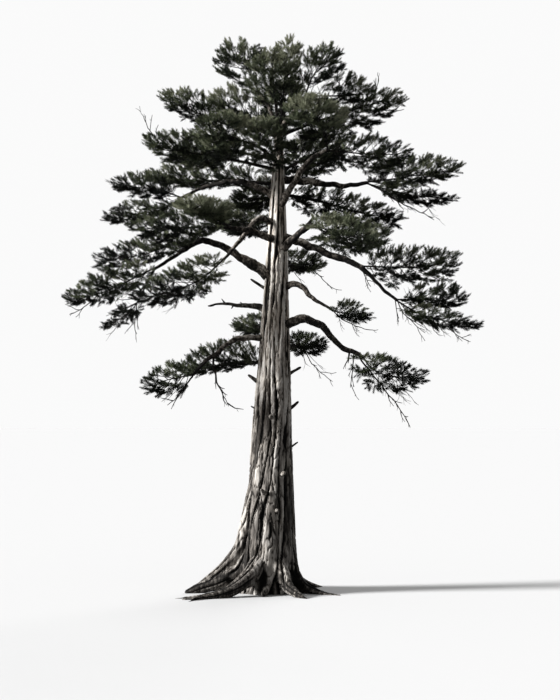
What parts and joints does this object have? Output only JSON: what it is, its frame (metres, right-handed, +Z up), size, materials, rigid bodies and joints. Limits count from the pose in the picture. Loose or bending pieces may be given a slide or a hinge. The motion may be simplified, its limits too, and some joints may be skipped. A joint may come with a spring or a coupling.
{
  "type": "old pine tree",
  "caption": "Old open-grown pine with a stout, furrowed, tapering trunk on a spread of surface roots, arched boughs in tiers and separate pads of needles forming a broad domed crown.",
  "frame": {"origin": "centre of the trunk's flat cut at ground level", "axes": "+Z up the trunk, +X to the right as the drawing shows the tree, +Y away from its viewer"},
  "size_m": [11.163, 8.9467, 15.003],
  "materials": {
    "bark": "deeply furrowed grey-brown bark, matt",
    "dead_wood": "weathered pale grey dead wood, matt",
    "needles": "dark green needles with a slight sheen"
  },
  "bodies": {
    "root": {"trunk": "bark", "bough_left_1": "bark", "bough_left_2_dead": "dead_wood", "bough_left_3_inner": "bark", "bough_left_3_outer": "bark", "bough_left_4": "bark", "bough_left_5": "bark", "bough_left_6": "bark", "bough_left_8": "bark", "bough_right_1": "bark", "bough_right_2": "bark", "bough_right_3": "bark", "bough_right_4_inner": "bark", "bough_right_4_outer": "bark", "bough_right_6": "bark", "bough_right_7": "bark", "bough_top_left": "bark", "bough_top_right": "bark", "foliage_back_left_1": "needles", "foliage_back_left_5": "needles", "foliage_back_left_6": "needles", "foliage_back_left_7": "needles", "foliage_back_right_1": "needles", "foliage_back_right_4": "needles", "foliage_back_right_7": "needles", "foliage_front_7": "needles", "foliage_left_1_inner": "needles", "foliage_left_1_outer": "needles", "foliage_left_3_lower": "needles", "foliage_left_3_tip": "needles", "foliage_left_3_upper": "needles", "foliage_left_4_front": "needles", "foliage_left_4_outer": "needles", "foliage_left_5": "needles", "foliage_left_6_inner": "needles", "foliage_left_6_tip": "needles", "foliage_left_6_upper": "needles", "foliage_left_7_front": "needles", "foliage_left_7_outer": "needles", "foliage_left_8_inner": "needles", "foliage_left_8_outer": "needles", "foliage_right_1": "needles", "foliage_right_2": "needles", "foliage_right_3_front": "needles", "foliage_right_3_outer": "needles", "foliage_right_4_middle": "needles", "foliage_right_4_tip": "needles", "foliage_right_4_upper": "needles", "foliage_right_5": "needles", "foliage_right_6_outer": "needles", "foliage_right_6_upper": "needles", "foliage_right_7_lower": "needles", "foliage_right_7_outer": "needles", "foliage_right_8": "needles", "foliage_top_back": "needles", "foliage_top_centre": "needles", "foliage_top_front": "needles", "foliage_top_left": "needles", "foliage_top_right": "needles", "foliage_top_right_side": "needles"}
  },
  "joints": []
}
